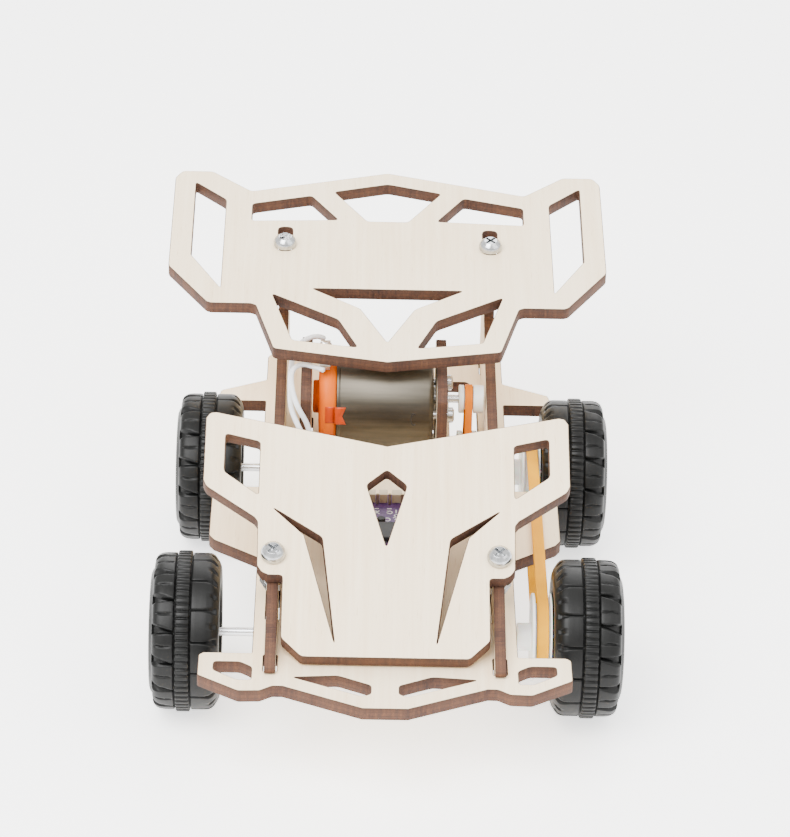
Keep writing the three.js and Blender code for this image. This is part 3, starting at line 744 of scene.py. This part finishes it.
def arc_lines(x, y, r, start=0, sweep=360):
    """Eight straight strokes along an arc, with angles in degrees."""
    step = sweep / 8
    corners = [(x + r * math.cos(math.radians(start + step * i)),
                y + r * math.sin(math.radians(start + step * i))) for i in range(9)]
    return [(*corners[i], *corners[i + 1]) for i in range(8)]


def board_print(rear, top):
    """Plain printed marks on the board."""
    lines = PRINTED_LINES + arc_lines(1.0, -8.2, 0.62) + arc_lines(2.6, -9.6, 0.5, 60, 240)
    lines += arc_lines(0.4, -11.4, 0.7, -120, 240) + arc_lines(-1.6, -11.6, 1.1, 90, 260)
    lines += arc_lines(0.7, -13.4, 0.6, -90, 200)
    verts, faces = [], []
    for x0, y0, x1, y1 in lines:
        span = math.hypot(x1 - x0, y1 - y0)
        nx, ny = -(y1 - y0) / span * PRINT_WIDTH / 2, (x1 - x0) / span * PRINT_WIDTH / 2
        base = len(verts)
        for lift in (-0.05, 0.04):
            for sign, px, py in ((1, x0, y0), (1, x1, y1), (-1, x1, y1), (-1, x0, y0)):
                verts.append((px + sign * nx, rear + py + sign * ny, top + lift))
        faces += [tuple(base + i for i in f) for f in (
            (0, 1, 2, 3), (4, 7, 6, 5), (0, 4, 5, 1), (1, 5, 6, 2), (2, 6, 7, 3), (3, 7, 4, 0))]
    mesh = mesh_of("board_print", verts, faces, False)
    piece("board_print", mesh, "chassis", ["print_white"])


def chip_legs():
    """Seven short legs along each side of the chip."""
    legs = []
    for at in range(-3, 4):
        for s in (-4.0, 4.0):
            legs.append((at - 0.2, s - 0.5, 0.0, at + 0.2, s + 0.5, 0.35))
            legs.append((s - 0.5, at - 0.2, 0.0, s + 0.5, at + 0.2, 0.35))
    low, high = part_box("board_chip")
    place = ((low.x + high.x) / 2, (low.y + high.y) / 2, low.z - 0.2 * MM)
    placed("chip_legs", block("chip_legs", legs), "tinned_metal", place)


def board_pieces():
    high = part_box("control_board")[1]
    rear, top = high.y / MM, high.z / MM

    def on_board(name, boxes, look, replaces=()):
        shifted = [(x0, rear + y0, top + z0, x1, rear + y1, top + z1) for x0, y0, z0, x1, y1, z1 in boxes]
        return piece(name, block(name, shifted), "chassis", [look], replaces)

    blocks = [(x0, -4.0, 0, x1, -1.6, 2.3) for x0, x1 in ((-4.3, -2.3), (-1.4, 0.5), (1.5, 3.8))]
    obj = on_board("header_blocks", blocks, "tan_plastic", ["board_header"])
    soft_edges(obj, 0.12, 30)
    pins = [(x - 0.32, -4.7, 0, x + 0.32, -4.1, 2.8) for x in (-4.5, -1.85, 1.0, 3.9)]
    soft_edges(on_board("header_pins", pins, "pin_metal"), 0.1, 30)
    chips = []
    for i, x in enumerate((-9.6, -8.0, -6.2, 6.4, 8.1, 9.7)):
        back = 2.3 * (i % 3)
        chips.append((x - 0.8, -9.5 - back, 0, x + 0.8, -8.7 - back, 0.5))
    soft_edges(on_board("small_parts", chips, "tan_plastic"), 0.06, 30)
    pads = [(x, -11.6, 0, x + 0.5, -11.1, 0.06) for x in (-3.6, -2.7, 2.2, 3.1)]
    on_board("pads", pads, "tinned_metal")
    board_print(rear, top)
    dome = lathe("dome", [(0.02, 0), (1.0, 0), (1.0, 0.9), (0.8, 1.1), (0.02, 1.15)], 28)
    dome.transform(Matrix.Rotation(-math.pi / 2, 4, "Y"))
    place = (-1.0 * MM, high.y - 12.4 * MM, high.z)
    soft_edges(placed("round_part", dome, "black_plastic", place), 0.08, 30)
    chip_legs()


# ---- wires --------------------------------------------------------------
def wire_piece(node):
    """The wire's own bends with a round section."""
    work = welded(node)
    for face in work.faces:
        face.smooth = True
    mesh = bpy.data.meshes.new(node + "_round")
    work.to_mesh(mesh)
    work.free()
    obj = piece(node + "_round", mesh, BODIES[node], ["wire_sleeve"], [node])
    smooth = obj.modifiers.new("rounder", "SUBSURF")
    smooth.levels = smooth.render_levels = 1


# ---- batteries ----------------------------------------------------------
SPRING_TURNS = 4.5
SPRING_STEPS = 90
HOLDER_WALL = 24.8


def contact_springs():
    """A cone-shaped wire spring between each cell's flat end and the holder's end wall."""
    for index, side in ((1, -1), (2, 1)):
        low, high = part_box("battery_cell_%d" % index)
        y, z = (low.y + high.y) / 2 / MM, (low.z + high.z) / 2 / MM
        flat = (high.x if side > 0 else low.x) / MM
        wall = HOLDER_WALL * side
        path = []
        for i in range(SPRING_STEPS + 1):
            share = i / SPRING_STEPS
            a = FULL_TURN * SPRING_TURNS * share
            r = 2.6 - 1.2 * share
            x = wall - side * 0.35 - side * (abs(wall - flat) - 0.7) * share
            path.append((x, y + r * math.cos(a), z + r * math.sin(a)))
        name = "contact_spring_%d" % index
        piece(name, tube("spring", path, 0.22, 8), "chassis", ["tinned_metal"])


# ---- every piece --------------------------------------------------------
# Width of the softened edges in millimetres, for the slots whose CAD shape is kept.
EDGE_WIDTHS = {
    "screw_steel": 0.12, "axle_steel": 0.15, "pulley_plastic": 0.2, "yellow_belt": 0.2,
    "black_plastic": 0.25, "tan_plastic": 0.2, "cell_sleeve": 0.3, "tinned_metal": 0.08,
    "board_laminate": 0.1,
}
for node, slot in SLOTS.items():
    if slot == "plywood":
        wood_piece(node)
wheel_pieces()
motor_pieces()
board_pieces()
contact_springs()
for node in ("motor_wire_1", "motor_wire_2"):
    wire_piece(node)
for node, slot in SLOTS.items():
    if slot in EDGE_WIDTHS and node != "board_header":
        softened(node, "amber_belt" if node == "motor_belt" else slot, EDGE_WIDTHS[slot])


# ---- stage --------------------------------------------------------------
FLOOR_REACH = 6.0
FLOOR_GLOW = 1.6
WORLD_STRENGTH = 1.9


def floor():
    """A pale floor that gives off light, because the photo's background is pure white."""
    mesh = bpy.data.meshes.new("floor")
    corners = [(x * FLOOR_REACH, y * FLOOR_REACH, 0) for x, y in ((-1, -1), (1, -1), (1, 1), (-1, 1))]
    mesh.from_pydata(corners, [], [(0, 1, 2, 3)])
    obj = bpy.data.objects.new("floor", mesh)
    bpy.context.scene.collection.objects.link(obj)
    look = Look("pale_floor", grey(0.95), 0.9, Emission_Color=(1, 1, 1, 1), Emission_Strength=FLOOR_GLOW)
    mesh.materials.append(look.material)


def area_light(name, place, target, size, power):
    data = bpy.data.lights.new(name, "AREA")
    data.energy = power
    data.size = size
    obj = bpy.data.objects.new(name, data)
    obj.location = place
    obj.rotation_euler = (Vector(target) - Vector(place)).to_track_quat("-Z", "Y").to_euler()
    bpy.context.scene.collection.objects.link(obj)


def lights():
    world = bpy.data.worlds.new("studio")
    world.use_nodes = True
    background = world.node_tree.nodes["Background"].inputs
    background["Color"].default_value = (1, 0.99, 0.97, 1)
    background["Strength"].default_value = WORLD_STRENGTH
    bpy.context.scene.world = world
    area_light("key", (-0.35, -0.45, 0.8), (0, 0, 0.02), 0.7, 22)
    area_light("fill", (0.6, -0.3, 0.6), (0, 0, 0.02), 0.8, 5)
    area_light("back", (0.1, 0.7, 0.5), (0, 0, 0.03), 0.6, 5)


CAMERA_PITCH = math.radians(29.8)
CAMERA_YAW = math.radians(0.97)
CAMERA_ROLL = math.radians(1.57)
CAMERA_DISTANCE = 0.8623
CAMERA_AIM = Vector((0.0018, -0.010, 0.0513))
FOCAL_LENGTH = 159.48387
SENSOR_WIDTH = 36


def camera():
    """At the photograph's viewing angle: 30 degrees down, a little to the car's left."""
    pitch, yaw, roll = CAMERA_PITCH, CAMERA_YAW, CAMERA_ROLL
    forward = Vector((math.sin(yaw) * math.cos(pitch), math.cos(yaw) * math.cos(pitch), -math.sin(pitch)))
    right = Vector((math.cos(yaw), -math.sin(yaw), 0))
    up = right.cross(forward)
    turned_right = math.cos(roll) * right + math.sin(roll) * up
    turned_up = -math.sin(roll) * right + math.cos(roll) * up
    data = bpy.data.cameras.new("camera")
    data.lens = FOCAL_LENGTH
    data.sensor_width = SENSOR_WIDTH
    data.clip_start, data.clip_end = 0.01, 20
    obj = bpy.data.objects.new("camera", data)
    matrix = Matrix((turned_right, turned_up, -forward)).transposed().to_4x4()
    matrix.translation = CAMERA_AIM - forward * CAMERA_DISTANCE
    obj.matrix_world = matrix
    bpy.context.scene.collection.objects.link(obj)
    bpy.context.scene.camera = obj


floor()
lights()
camera()
